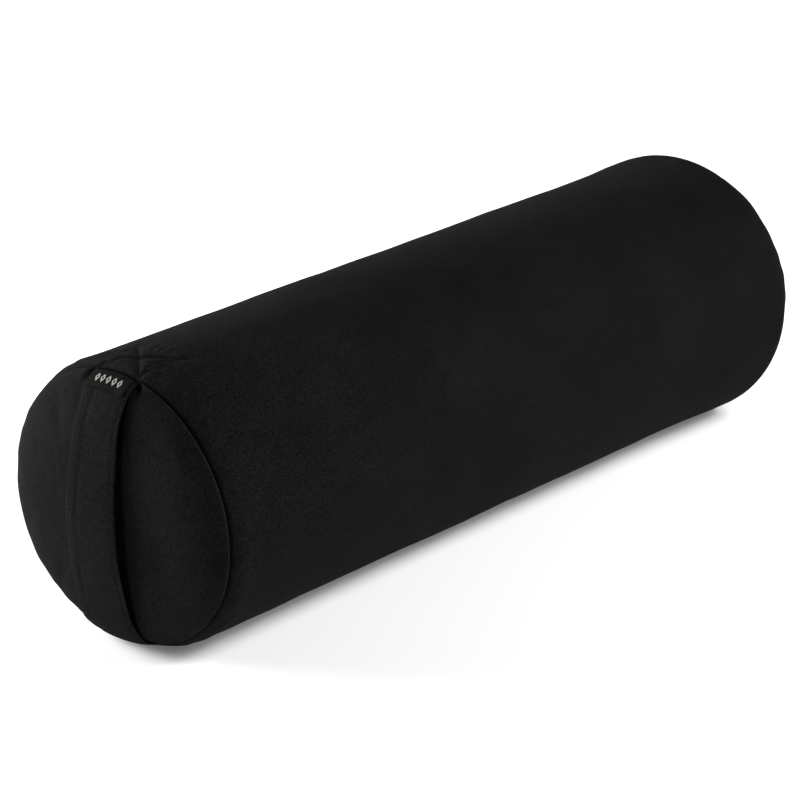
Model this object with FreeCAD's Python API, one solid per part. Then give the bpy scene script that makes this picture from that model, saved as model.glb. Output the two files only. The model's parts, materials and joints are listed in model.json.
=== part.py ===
import FreeCAD, Part
import math
import os

# Round bolster pillow with a fabric carry strap on its front end.
# Frame, in millimetres: +Z up, X along the bolster with the strap end at -X,
# the origin on the floor under the middle of the overall length and width.

os.makedirs("parts", exist_ok=True)
V = FreeCAD.Vector

# ---------------------------------------------------------------- body
BODY_R = 114.5            # radius of the filled tube
SEAM_R = 109.0            # radius of the ring where tube and end panels are sewn
SEAM_TO_SEAM = 689.0      # length between the two end seams
RISE = 12.0               # length over which the tube swells from seam to full radius
FOOT_DEPTH = 5.0          # the bolster's own weight flattens this much of its underside
AXIS_Z = BODY_R - FOOT_DEPTH

FRONT_DOME = 23.0         # how far the front end panel bulges past its seam
BACK_DOME = 27.0
FRONT_POWER = 2.6         # higher is flatter in the middle, rounder at the shoulder
BACK_POWER = 3.2

# ---------------------------------------------------------------- strap
STRAP_REACH = 35.0        # outer face of the strap past the front seam
STRAP_INNER_REACH = 32.0
STRAP_OUT_D = 1.8         # depth of the strap's outer face below the cover at the seam
STRAP_IN_D = 3.8
STRAP_HALF_TOP = 21.5     # half widths at the upper and the lower seam
STRAP_HALF_LOW = 29.0
GRIP_HALF = 45.0          # the hand-held middle, either side of the axis
TAIL_LENGTH = 45.0        # sewn length inside the cover
CLEAR = 0.4               # room left between the strap and the panel under it
INNER_SPREAD = 3.0        # the strap presses the liner and wadding in over a wider band

# ---------------------------------------------------------------- fabric layers
COVER_T = 1.6             # brushed cover fabric
TURN_IN_OUT = 1.8         # turned-in edge of an end panel, outer and inner depth
TURN_IN_IN = 3.4
TURN_IN_LENGTH = 10.0
LINER_OUT = 4.2
LINER_IN = 5.0
CLOSING_OUT = 3.9         # thread that shuts the liner once it is filled
CLOSING_IN = 4.9
CLOSING_HALF_L = 150.0
BATTING_OUT = 5.2
BATTING_IN = 25.0
CORE_OUT = 25.2

# ---------------------------------------------------------------- stitching
THREAD_W = 0.8
BOX_LENGTH = 39.0         # crossed square that holds each strap tail, along the bolster
BOX_WIDTH = 41.0          # and across it
BOX_INSET = 0.8           # from the end seam to the square
STITCH_LIFT = 0.4         # how far its thread stands out of the cover
FOOT_SINK = 0.1           # the underside's thread is pressed just inside the cover
STITCH_SINK = 2.4         # how deep it goes, through the cover and into the strap's tail
SEAM_THREAD_X = 2.0       # how far inside the seam its line of thread runs
SEAM_THREAD_T = 0.6

# ---------------------------------------------------------------- zip
ZIP_ANGLE = 72.0          # from the top of the tube towards the back
SLOT_HALF_W = 6.0
SLOT_HALF_L = 283.0
COIL_HALF_L = 272.0
COIL_GAP = 0.5            # from the middle of the chain to each coil half
COIL_EDGE = 3.0
COIL_R0 = 112.2
COIL_R1 = 114.2
TAPE_R0 = 112.1
TAPE_R1 = 112.7
TAPE_EDGE = 15.0
TAPE_GAP = 0.1            # between a tape's inner edge and its coil
TAPE_HALF_L = 290.0
STOP_L = 2.6
STOP_CLEAR = 0.4
STOP_R1 = 114.5
TOPSTITCH_T = 9.0         # from the middle of the chain to each topstitched row
ROW_R0 = 112.3            # a topstitched row goes through the cover and the tape
ROW_R1 = 114.8
ROW_PAST_SLOT = 4.0
TACK_GAP = 0.6            # from the end of a row to the bar tack across it
SLIT_W = 0.4              # closed part of the long seam, beyond the zip
SEAM_ROW_CLEAR = 3.0      # from a bar tack to the thread of the long seam
SEAM_ROW_R0 = 112.5
SEAM_ROW_R1 = 113.9

SLIDER_L = 12.0
SLIDER_W = 9.0
SLIDER_X = 264.0          # slider centre from mid length with the zip shut
PLATE_T = 1.0
LOWER_PLATE_R = 110.7
UPPER_PLATE_R = 114.6
WEB_L = 5.0
WEB_W = 0.6
FLANGE_W = 1.0
FLANGE_R = 113.2
ARCH_L = 8.0
ARCH_W = 2.0
ARCH_TOP_R = 118.4
ARCH_HOLE_L = 3.2
ARCH_HOLE_TOP_R = 117.2
ARCH_ROUND = 0.9
WELD = 0.2                # depth by which the slider's parts run into each other
PIN_R = 0.6
PIN_AXIS_R = 116.4
PIN_HALF_L = 2.3
ARM_IN = 1.5
ARM_L = 7.0
TAB_START = 5.5
TAB_L = 26.0
TAB_W = 8.0
TAB_CORNER_R = 2.5
TAB_HOLE_R = 2.0
TAB_HOLE_INSET = 5.0      # from the tab's free end

# ---------------------------------------------------------------- labels
LABEL_HALF_W = 20.3
LABEL_LOW_Z = 96.0        # lower edge of the folded label, above the axis
LABEL_GAP = 0.1
LABEL_T = 0.9
CARE_X = 150.0            # care label from mid length, hanging from the lower tape
CARE_W = 32.0
CARE_T0 = 10.0
CARE_T1 = 58.0
CARE_R0 = 111.3
CARE_R1 = 111.7

# ---------------------------------------------------------------- placing
X_MID = (STRAP_REACH - BACK_DOME) / 2.0     # centres the overall length on X = 0
FRONT_X = X_MID - SEAM_TO_SEAM / 2.0
BACK_X = X_MID + SEAM_TO_SEAM / 2.0
AXIS = V(0, 0, AXIS_Z)
ALONG = V(1, 0, 0)
BIG = 400.0


def box(x0, x1, y0, y1, z0, z1):
    return Part.makeBox(x1 - x0, y1 - y0, z1 - z0, V(x0, y0, z0))


def slab(x0, x1):
    return box(x0, x1, -BIG, BIG, -BIG, BIG)


def revolve(edges):
    """Closed (x, radius) outline turned about the bolster's axis."""
    face = Part.Face(Part.Wire(edges))
    return Part.makeSolid(face.revolve(AXIS, ALONG, 360).Shells[0])


def dome_points(seam_x, side, height, radius, power, count=14):
    """Points from the dome's crown to its seam, for a bulge of the given height."""
    points = []
    for i in range(count + 1):
        turn = math.pi / 2 * i / count
        r = radius * math.sin(turn) ** (2.0 / power)
        points.append(V(seam_x + side * height * math.cos(turn), 0, AXIS_Z + r))
    return points


def spline(points):
    curve = Part.BSplineCurve()
    curve.interpolate(points)
    return curve.toShape()


def cap(seam_x, side, height, radius, power):
    """Solid between a seam plane and the dome that bulges past it."""
    points = dome_points(seam_x, side, height, radius, power)
    foot = V(seam_x, 0, AXIS_Z)
    edges = [
        spline(points),
        Part.makeLine(points[-1], foot),
        Part.makeLine(foot, points[0]),
    ]
    return revolve(edges)


def tube(d):
    """The filled tube between the seams, d inside its outer face."""
    rise = []
    for i in range(7):
        share = i / 6.0
        r = SEAM_R + (BODY_R - SEAM_R) * math.sin(math.pi / 2 * share) - d
        rise.append((share * RISE, r))
    front = [V(FRONT_X + s, 0, AXIS_Z + r) for s, r in rise]
    back = [V(BACK_X - s, 0, AXIS_Z + r) for s, r in reversed(rise)]
    foot_a = V(FRONT_X, 0, AXIS_Z)
    foot_b = V(BACK_X, 0, AXIS_Z)
    edges = [
        Part.makeLine(foot_a, front[0]),
        spline(front),
        Part.makeLine(front[-1], back[0]),
        spline(back),
        Part.makeLine(back[-1], foot_b),
        Part.makeLine(foot_b, foot_a),
    ]
    return revolve(edges).cut(box(-BIG, BIG, -BIG, BIG, -BIG, d))


def strap_strip(margin=0.0, x0=-BIG, x1=BIG):
    """Tapered prism that holds the strap's width, running along X."""
    reach = SEAM_R + 20.0
    slope = (STRAP_HALF_TOP - STRAP_HALF_LOW) / (2.0 * SEAM_R)
    middle = (STRAP_HALF_TOP + STRAP_HALF_LOW) / 2.0
    top = middle + slope * reach + margin
    low = middle - slope * reach + margin
    corners = [
        V(x0, -top, AXIS_Z + reach),
        V(x0, top, AXIS_Z + reach),
        V(x0, low, AXIS_Z - reach),
        V(x0, -low, AXIS_Z - reach),
    ]
    face = Part.Face(Part.makePolygon(corners + corners[:1]))
    return face.extrude(V(x1 - x0, 0, 0))


def front_cap(d, spread=1.0):
    """Front dome, d inside its face, pressed in where the strap leaves the seam."""
    dome = cap(FRONT_X, -1, FRONT_DOME - d, SEAM_R - d, FRONT_POWER)
    under = cap(
        FRONT_X, -1, STRAP_INNER_REACH - CLEAR - d, SEAM_R - STRAP_IN_D - CLEAR - d, 2.0
    )
    strip = strap_strip(margin=CLEAR + spread * d, x0=FRONT_X - 2 * STRAP_REACH, x1=FRONT_X)
    return dome.cut(strip.cut(under))


def back_cap(d):
    return cap(BACK_X, 1, BACK_DOME - d, SEAM_R - d, BACK_POWER)


def turned_in(x0, x1):
    return tube(TURN_IN_OUT).cut(tube(TURN_IN_IN)).common(slab(x0, x1))


def lines(rects, lift, sink, upward):
    """Thread lines laid in the cover, given as (x0, y0, x1, y1) centre lines."""
    prisms = []
    for x0, y0, x1, y1 in rects:
        length = math.hypot(x1 - x0, y1 - y0) + THREAD_W
        bar = Part.makeBox(length, THREAD_W, BODY_R + 2.0, V(-THREAD_W / 2, -THREAD_W / 2, 0))
        bar.rotate(V(0, 0, 0), V(0, 0, 1), math.degrees(math.atan2(y1 - y0, x1 - x0)))
        bar.translate(V(x0, y0, AXIS_Z if upward else AXIS_Z - BODY_R - 2.0))
        prisms.append(bar)
    pattern = prisms[0].multiFuse(prisms[1:])
    return tube(-lift).cut(tube(sink)).common(pattern)


def to_zip(shape):
    """Carries a shape built on the top line of the tube round to the zip."""
    turned = shape.copy()
    turned.rotate(AXIS, ALONG, -ZIP_ANGLE)
    return turned


def sector(r0, r1, t0, t1, x0, x1):
    """Piece of a thin tube on the top line, t0 to t1 across and x0 to x1 along."""
    start = V(x0, 0, AXIS_Z)
    ring = Part.makeCylinder(r1, x1 - x0, start, ALONG)
    ring = ring.cut(Part.makeCylinder(r0, x1 - x0, start, ALONG))
    return ring.common(box(x0, x1, t0, t1, AXIS_Z, AXIS_Z + 2 * BODY_R))


def zip_box(x0, x1, t0, t1, r0, r1):
    return box(x0, x1, t0, t1, AXIS_Z + r0, AXIS_Z + r1)


def fuse(shapes):
    return shapes[0].multiFuse(shapes[1:]).removeSplitter()


parts = {}

# ---------------------------------------------------------------- end seams' thread
front_thread_line = tube(TURN_IN_OUT - SEAM_THREAD_T).cut(tube(TURN_IN_OUT + SEAM_THREAD_T))
front_thread = front_thread_line.common(
    slab(FRONT_X + SEAM_THREAD_X, FRONT_X + SEAM_THREAD_X + THREAD_W)
)
back_thread = front_thread_line.common(
    slab(BACK_X - SEAM_THREAD_X - THREAD_W, BACK_X - SEAM_THREAD_X)
)
parts["front_seam_thread"] = front_thread
parts["back_seam_thread"] = back_thread

# ---------------------------------------------------------------- cover
cover = tube(0).cut(tube(COVER_T))
through = (SEAM_R - 2 * TURN_IN_IN, BODY_R + 2 * TURN_IN_IN)
slot = zip_box(X_MID - SLOT_HALF_L, X_MID + SLOT_HALF_L, -SLOT_HALF_W, SLOT_HALF_W, *through)
slit = zip_box(FRONT_X, BACK_X, -SLIT_W / 2, SLIT_W / 2, *through)
cover = cover.cut(to_zip(slot)).cut(to_zip(slit)).cut(front_thread).cut(back_thread)
parts["cover_body_panel"] = cover

front_shell = front_cap(0).cut(front_cap(COVER_T))
front_edge = front_cap(0).cut(front_cap(TURN_IN_IN)).common(slab(FRONT_X - COVER_T, FRONT_X))
front_rim = turned_in(FRONT_X, FRONT_X + TURN_IN_LENGTH).cut(strap_strip(margin=CLEAR))
front_panel = fuse([front_shell, front_edge, front_rim]).cut(front_thread)
parts["cover_front_end_panel"] = front_panel

back_shell = back_cap(0).cut(back_cap(COVER_T))
back_edge = back_cap(0).cut(back_cap(TURN_IN_IN)).common(slab(BACK_X, BACK_X + COVER_T))
back_rim = turned_in(BACK_X - TURN_IN_LENGTH, BACK_X)
back_panel = fuse([back_shell, back_edge, back_rim]).cut(back_thread)
parts["cover_back_end_panel"] = back_panel

# ---------------------------------------------------------------- strap
strap_outer = cap(FRONT_X, -1, STRAP_REACH, SEAM_R - STRAP_OUT_D, 2.0)     # power 2 is an ellipse
strap_inner = cap(FRONT_X, -1, STRAP_INNER_REACH, SEAM_R - STRAP_IN_D, 2.0)
strap_loop = strap_outer.cut(strap_inner).common(strap_strip())
tails = tube(STRAP_OUT_D).cut(tube(STRAP_IN_D)).common(
    strap_strip(x0=FRONT_X, x1=FRONT_X + TAIL_LENGTH)
)
tails = tails.cut(front_thread)
upper_half = box(-BIG, BIG, -BIG, BIG, AXIS_Z + GRIP_HALF, BIG)
lower_half = box(-BIG, BIG, -BIG, BIG, -BIG, AXIS_Z - GRIP_HALF)
middle = box(-BIG, BIG, -BIG, BIG, AXIS_Z - GRIP_HALF, AXIS_Z + GRIP_HALF)
parts["strap_upper_leg"] = fuse([strap_loop.common(upper_half), tails.common(upper_half)])
parts["strap_grip"] = strap_loop.common(middle)
parts["strap_lower_leg"] = fuse([strap_loop.common(lower_half), tails.common(lower_half)])

# ---------------------------------------------------------------- crossed squares
bx0 = FRONT_X + BOX_INSET
bx1 = bx0 + BOX_LENGTH
by = BOX_WIDTH / 2.0
crossed_square = [
    (bx0, -by, bx1, -by),
    (bx0, by, bx1, by),
    (bx0, -by, bx0, by),
    (bx1, -by, bx1, by),
    (bx0, -by, bx1, by),
    (bx0, by, bx1, -by),
]
upper_box = lines(crossed_square, STITCH_LIFT, STITCH_SINK, True)
parts["upper_box_stitch"] = upper_box.cut(front_thread)
lower_box = lines(crossed_square, -FOOT_SINK, STITCH_SINK, False)
parts["lower_box_stitch"] = lower_box.cut(front_thread)

# ---------------------------------------------------------------- woven label
def strap_side(proud):
    """Everything inside a sheet that lies proud of the strap's outer face."""
    return cap(FRONT_X, -1, STRAP_REACH + proud, SEAM_R - STRAP_OUT_D + proud, 2.0)


label_in = strap_side(LABEL_GAP)
label_out = strap_side(LABEL_GAP + LABEL_T)
label_zone = box(-BIG, FRONT_X - CLEAR / 2, -LABEL_HALF_W, LABEL_HALF_W, AXIS_Z + LABEL_LOW_Z, BIG)
parts["woven_label"] = label_out.cut(label_in).common(label_zone)

# ---------------------------------------------------------------- zip
za = X_MID - TAPE_HALF_L
zb = X_MID + TAPE_HALF_L
ca = X_MID - COIL_HALF_L
cb = X_MID + COIL_HALF_L
for name, sign in (("upper", -1), ("lower", 1)):
    across = sorted((sign * (COIL_EDGE + TAPE_GAP), sign * TAPE_EDGE))
    parts["zip_%s_tape" % name] = to_zip(sector(TAPE_R0, TAPE_R1, across[0], across[1], za, zb))
    across = sorted((sign * COIL_GAP, sign * COIL_EDGE))
    parts["zip_%s_coil" % name] = to_zip(zip_box(ca, cb, across[0], across[1], COIL_R0, COIL_R1))
    stop = zip_box(cb + STOP_CLEAR, cb + STOP_CLEAR + STOP_L, across[0], across[1], COIL_R0, STOP_R1)
    parts["zip_%s_top_stop" % name] = to_zip(stop)
bottom_stop = zip_box(ca - STOP_CLEAR - STOP_L, ca - STOP_CLEAR, -COIL_EDGE, COIL_EDGE, COIL_R0, STOP_R1)
parts["zip_bottom_stop"] = to_zip(bottom_stop)


def stitch_row(t, x0, x1, r0=ROW_R0, r1=ROW_R1):
    return sector(r0, r1, t - THREAD_W / 2, t + THREAD_W / 2, x0, x1)


end_a = X_MID - SLOT_HALF_L - ROW_PAST_SLOT
end_b = X_MID + SLOT_HALF_L + ROW_PAST_SLOT
for name, sign in (("upper", -1), ("lower", 1)):
    parts["zip_%s_topstitch" % name] = to_zip(stitch_row(sign * TOPSTITCH_T, end_a, end_b))
for name, x in (("front", end_a - TACK_GAP - THREAD_W), ("back", end_b + TACK_GAP)):
    bar = sector(ROW_R0, ROW_R1, -TOPSTITCH_T, TOPSTITCH_T, x, x + THREAD_W)
    parts["zip_%s_bar_tack" % name] = to_zip(bar)

# long seam either side of the zip
parts["long_seam_thread_front"] = to_zip(
    stitch_row(0.0, FRONT_X + RISE, end_a - SEAM_ROW_CLEAR, SEAM_ROW_R0, SEAM_ROW_R1)
)
parts["long_seam_thread_back"] = to_zip(
    stitch_row(0.0, end_b + SEAM_ROW_CLEAR, BACK_X - RISE, SEAM_ROW_R0, SEAM_ROW_R1)
)

# slider
sx = X_MID + SLIDER_X
half_l = SLIDER_L / 2.0
half_w = SLIDER_W / 2.0
lower_top = LOWER_PLATE_R + PLATE_T
upper_top = UPPER_PLATE_R + PLATE_T
arch = zip_box(
    sx - ARCH_L / 2, sx + ARCH_L / 2, -ARCH_W / 2, ARCH_W / 2, upper_top - WELD, ARCH_TOP_R
)
arch = arch.cut(
    zip_box(
        sx - ARCH_HOLE_L / 2, sx + ARCH_HOLE_L / 2, -ARCH_W, ARCH_W, upper_top, ARCH_HOLE_TOP_R
    )
)
crest = AXIS_Z + ARCH_TOP_R - 0.01
ridge = [e for e in arch.Edges if e.BoundBox.ZMin > crest and e.BoundBox.XLength < 0.01]
arch = arch.makeFillet(ARCH_ROUND, ridge)
slider = [
    zip_box(sx - half_l, sx + half_l, -half_w, half_w, LOWER_PLATE_R, lower_top),
    zip_box(sx - half_l, sx + half_l, -half_w, half_w, UPPER_PLATE_R, upper_top),
    zip_box(sx - WEB_L / 2, sx + WEB_L / 2, -WEB_W / 2, WEB_W / 2, lower_top - WELD, UPPER_PLATE_R + WELD),
    zip_box(sx - half_l, sx + half_l, -half_w, -half_w + FLANGE_W, FLANGE_R, UPPER_PLATE_R + WELD),
    zip_box(sx - half_l, sx + half_l, half_w - FLANGE_W, half_w, FLANGE_R, UPPER_PLATE_R + WELD),
    arch,
]
parts["zip_slider"] = to_zip(fuse(slider))

# pull tab: a round pin under the arch, two arms beside it and a flat tab
pin = Part.makeCylinder(PIN_R, 2 * PIN_HALF_L, V(sx, -PIN_HALF_L, AXIS_Z + PIN_AXIS_R), V(0, 1, 0))
pull = [pin]
for sign in (-1, 1):
    across = sorted((sign * ARM_IN, sign * PIN_HALF_L))
    arm = Part.makeBox(
        ARM_L, across[1] - across[0], 2 * PIN_R, V(sx, across[0], AXIS_Z + PIN_AXIS_R - PIN_R)
    )
    boss = Part.makeCylinder(
        PIN_R, across[1] - across[0], V(sx, across[0], AXIS_Z + PIN_AXIS_R), V(0, 1, 0)
    )
    pull += [arm, boss]
tab_x = sx + TAB_START
tab = zip_box(tab_x, tab_x + TAB_L, -TAB_W / 2, TAB_W / 2, PIN_AXIS_R - PIN_R, PIN_AXIS_R + PIN_R)
uprights = [e for e in tab.Edges if e.BoundBox.ZLength > PIN_R]
tab = tab.makeFillet(TAB_CORNER_R, uprights)
hole_at = V(tab_x + TAB_L - TAB_HOLE_INSET, 0, AXIS_Z + PIN_AXIS_R - 2 * PIN_R)
tab = tab.cut(Part.makeCylinder(TAB_HOLE_R, 4 * PIN_R, hole_at, V(0, 0, 1)))
pull.append(tab)
parts["zip_pull_tab"] = to_zip(fuse(pull))

# care label, inside the cover
care = sector(CARE_R0, CARE_R1, CARE_T0, CARE_T1, X_MID + CARE_X, X_MID + CARE_X + CARE_W)
parts["care_label"] = to_zip(care)

# ---------------------------------------------------------------- inner cushion
parts["liner_body_panel"] = tube(LINER_OUT).cut(tube(LINER_IN))
parts["liner_front_end_panel"] = front_cap(LINER_OUT, INNER_SPREAD).cut(front_cap(LINER_IN, INNER_SPREAD))
parts["liner_back_end_panel"] = back_cap(LINER_OUT).cut(back_cap(LINER_IN))
closing = tube(CLOSING_OUT).cut(tube(CLOSING_IN))
closing_line = box(
    X_MID - CLOSING_HALF_L, X_MID + CLOSING_HALF_L, -BIG, 0, AXIS_Z - THREAD_W / 2, AXIS_Z + THREAD_W / 2
)
closing = closing.common(closing_line)
parts["liner_closing_thread"] = closing
parts["batting_wrap"] = tube(BATTING_OUT).cut(tube(BATTING_IN))
parts["fibre_core"] = tube(CORE_OUT)
parts["front_end_wadding"] = front_cap(BATTING_OUT, INNER_SPREAD)
parts["back_end_wadding"] = back_cap(BATTING_OUT)

for name, shape in parts.items():
    solids = shape.Solids
    solid = solids[0] if len(solids) == 1 else Part.makeCompound(solids)
    print(name, len(solids), shape.isValid(), round(shape.Volume / 1000.0, 3))
    solid.exportStep("parts/%s.step" % name)
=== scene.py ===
import bpy
import json
import math
import numpy as np
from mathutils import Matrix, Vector
from mathutils.bvhtree import BVHTree


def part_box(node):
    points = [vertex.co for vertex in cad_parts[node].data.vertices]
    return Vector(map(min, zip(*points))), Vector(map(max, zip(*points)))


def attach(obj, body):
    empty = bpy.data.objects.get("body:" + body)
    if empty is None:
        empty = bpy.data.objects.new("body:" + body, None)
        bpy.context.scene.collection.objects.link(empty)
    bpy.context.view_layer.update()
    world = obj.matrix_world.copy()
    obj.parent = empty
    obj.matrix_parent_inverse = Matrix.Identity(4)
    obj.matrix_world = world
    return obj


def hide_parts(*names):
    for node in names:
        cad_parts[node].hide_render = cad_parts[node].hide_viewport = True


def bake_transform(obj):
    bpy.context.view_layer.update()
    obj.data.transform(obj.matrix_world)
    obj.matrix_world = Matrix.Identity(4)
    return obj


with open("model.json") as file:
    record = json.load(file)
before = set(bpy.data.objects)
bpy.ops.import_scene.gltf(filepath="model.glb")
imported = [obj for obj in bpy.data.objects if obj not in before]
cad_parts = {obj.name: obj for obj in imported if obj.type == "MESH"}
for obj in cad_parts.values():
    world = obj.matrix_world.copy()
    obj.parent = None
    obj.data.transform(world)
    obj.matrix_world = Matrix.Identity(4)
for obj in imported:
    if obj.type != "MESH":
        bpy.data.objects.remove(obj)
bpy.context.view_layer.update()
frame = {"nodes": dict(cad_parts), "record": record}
MM = 0.001

# ------------------------------------------------------------------ sizes read from the frame
tube_lo, tube_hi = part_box("cover_body_panel")
front_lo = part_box("cover_front_end_panel")[0]
back_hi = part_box("cover_back_end_panel")[1]
grip_lo, grip_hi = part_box("strap_grip")
FRONT_X = tube_lo[0]
BACK_X = tube_hi[0]
R = (tube_hi[1] - tube_lo[1]) / 2
AXIS_Z = tube_hi[2] - R
MID_X = (FRONT_X + BACK_X) / 2
SEAM_R = 109.2 * MM
BACK_SEAM_R = 107.5 * MM
RISE = 17 * MM
BACK_RISE = 16 * MM
FRONT_DOME = FRONT_X - front_lo[0]
BACK_DOME = back_hi[0] - BACK_X
FRONT_POWER = 2.6
BACK_POWER = 3.2
# the strap's middle sheet is part of an ellipsoid: STRAP_A out from the seam, STRAP_B to its top
STRAP_A = FRONT_X - grip_lo[0] - 1.5 * MM
STRAP_B = 106.2 * MM
STRAP_HALF_T = 1.25 * MM
STRAP_EDGE_ROW = 2.6 * MM
STRAP_FOLD_LINE = 11 * MM
ZIP_PHI = math.radians(72)
SLOT_HALF_W = 6 * MM
SLOT_HALF_L = 283 * MM
TOPSTITCH_T = 9 * MM
CHAIN_R = 113.25 * MM
TAPE_R = 112.4 * MM
TAPE_T = 0.4 * MM
COIL_PITCH = 1.7 * MM
SEAM_GROOVE = 1.7 * MM
# how the filling settles: out to the sides and off the floor at the strap end, fuller at the far end
NEAR_SPREAD = 3.6 * MM
NEAR_SPREAD_REACH = 70 * MM
NEAR_LIFT = 3.3 * MM
NEAR_LIFT_REACH = 28 * MM
FAR_SPREAD = 2.6 * MM
FAR_SWELL = 1.6 * MM
FAR_REACH = 110 * MM
FOOT_SOFTNESS = 2.5 * MM

rng = np.random.RandomState(7)


def smooth(a, b, v):
    t = np.clip((v - a) / (b - a), 0, 1)
    return t * t * (3 - 2 * t)


def bell(v, width):
    return np.exp(-((v / width) ** 2))


def soften(grid):
    """One smoothing step round the bolster, then one along it."""
    grid = (np.roll(grid, 1, 1) + 2 * grid + np.roll(grid, -1, 1)) / 4
    grid[1:-1] = (grid[:-2] + 2 * grid[1:-1] + grid[2:]) / 4
    return grid


def wrap(a):
    return (a + math.pi) % (2 * math.pi) - math.pi


# ------------------------------------------------------------------ the bolster's even shape
def tube_radius(x):
    """Radius of the filled tube at x, before any wrinkle."""
    s0 = np.clip((x - FRONT_X) / RISE, 0, 1)
    s1 = np.clip((BACK_X - x) / BACK_RISE, 0, 1)
    r0 = SEAM_R + (R - SEAM_R) * (1 - (1 - s0) ** 2.4)
    # the far shoulder rolls right over, so its seam faces the end
    r1 = BACK_SEAM_R + (R - BACK_SEAM_R) * np.sqrt(1 - (1 - s1) ** 2)
    return np.minimum(r0, r1)


def dome(turn, height, radius, power):
    """How far a domed end stands past its seam, and its radius; turn runs 0 at the crown to pi/2."""
    return height * np.cos(turn), radius * np.sin(turn) ** (2 / power)


def place(x, r, phi):
    """Points at radius r and angle phi from the top towards +Y."""
    x, r, phi = np.broadcast_arrays(x, r, phi)
    return np.stack([x, r * np.sin(phi), AXIS_Z + r * np.cos(phi)], axis=-1)


def sag(p):
    """The filling spreads sideways under its own weight and rides up off the floor at the strap end."""
    x, y, z = p[..., 0], p[..., 1], p[..., 2]
    low = (z - AXIS_Z) / R
    side = y / R
    under = np.clip(-low, 0, 1)
    over = np.clip(low, 0, 1)
    run = np.clip(x - FRONT_X, 0, None)
    spread = NEAR_SPREAD * np.exp(-run / NEAR_SPREAD_REACH) * (1 - 0.5 * over + 0.9 * under)
    lift = NEAR_LIFT * np.exp(-run / NEAR_LIFT_REACH) * under ** 3
    # the far end is packed a little fuller
    far = smooth(-FAR_REACH, 0, x - BACK_X)
    swell = FAR_SWELL * low * far
    sideways = spread * side * np.abs(side) + FAR_SPREAD * side * far
    return np.stack([x - swell, y + sideways, z + lift + swell], axis=-1)


def rest_on_floor(p):
    """Flattens whatever would go below the floor, with a soft edge."""
    z = p[..., 2]
    k = FOOT_SOFTNESS
    p[..., 2] = np.where(z > 8 * k, z, k * np.log1p(np.exp(np.minimum(z / k, 30))))
    return p


# ------------------------------------------------------------------ meshes
def make_object(name, verts, faces, material=None, uvs=None):
    mesh = bpy.data.meshes.new(name)
    mesh.from_pydata([tuple(v) for v in verts], [], [tuple(f) for f in faces])
    mesh.update()
    mesh.polygons.foreach_set("use_smooth", [True] * len(mesh.polygons))
    if uvs is not None:
        layer = mesh.uv_layers.new(name="UVMap")
        loops = np.empty(len(mesh.loops), dtype=np.int64)
        mesh.loops.foreach_get("vertex_index", loops)
        layer.data.foreach_set("uv", np.asarray(uvs, dtype=np.float32)[loops].ravel())
    obj = bpy.data.objects.new(name, mesh)
    bpy.context.scene.collection.objects.link(obj)
    if material:
        mesh.materials.append(material)
    return obj


def thicken(obj, thickness):
    solid = obj.modifiers.new("Thickness", "SOLIDIFY")
    solid.thickness = thickness
    solid.offset = 0


def on_bolster(obj, cad):
    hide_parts(cad)
    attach(obj, "bolster")


def grid_faces(nu, nv, wrap_v=False, keep=None, flip=False):
    faces = []
    for i in range(nu - 1):
        for j in range(nv if wrap_v else nv - 1):
            if keep is not None and not keep[i, j]:
                continue
            k = (j + 1) % nv
            face = (i * nv + j, i * nv + k, (i + 1) * nv + k, (i + 1) * nv + j)
            faces.append(face[::-1] if flip else face)
    return faces


def attribute(obj, name, values):
    layer = obj.data.attributes.new(name, "FLOAT", "POINT")
    layer.data.foreach_set("value", np.asarray(values, dtype=np.float32).ravel())


def cubic_weights(sample, knots, closed=0.0):
    """Rows of Catmull-Rom weights that read values held at the knots; closed is the period, if any."""
    n = len(knots)
    out = np.zeros((len(sample), n))
    for row, v in enumerate(sample):
        if closed:
            v = (v - knots[0]) % closed
            step = closed / n
            i = int(v // step) % n
            t = v / step - int(v // step)
            index = [(i - 1) % n, i, (i + 1) % n, (i + 2) % n]
        else:
            i = int(np.clip(np.searchsorted(knots, v) - 1, 0, n - 2))
            t = float(np.clip((v - knots[i]) / (knots[i + 1] - knots[i]), 0, 1))
            index = [max(i - 1, 0), i, i + 1, min(i + 2, n - 1)]
        w = [
            -0.5 * t + t * t - 0.5 * t ** 3,
            1 - 2.5 * t * t + 1.5 * t ** 3,
            0.5 * t + 2 * t * t - 1.5 * t ** 3,
            -0.5 * t * t + 0.5 * t ** 3,
        ]
        for k, wk in zip(index, w):
            out[row, k] += wk
    return out


# ------------------------------------------------------------------ cloth simulation of the cover
N_PHI = 144
N_CAP = N_PHI // 8
N_RINGS = 118
SIM_FRAMES = 24
SIM_INSET = 1.5 * MM
UNEVEN = 0.25 * MM
CAP_MOVE = 5 * MM
# share of extra cloth at the seams, and what the middle and the ends have of it
SEAM_EASE = 0.05
MID_EASE = 0.1
CAP_EASE = 0.5
EASE_REACH = 45 * MM


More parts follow.
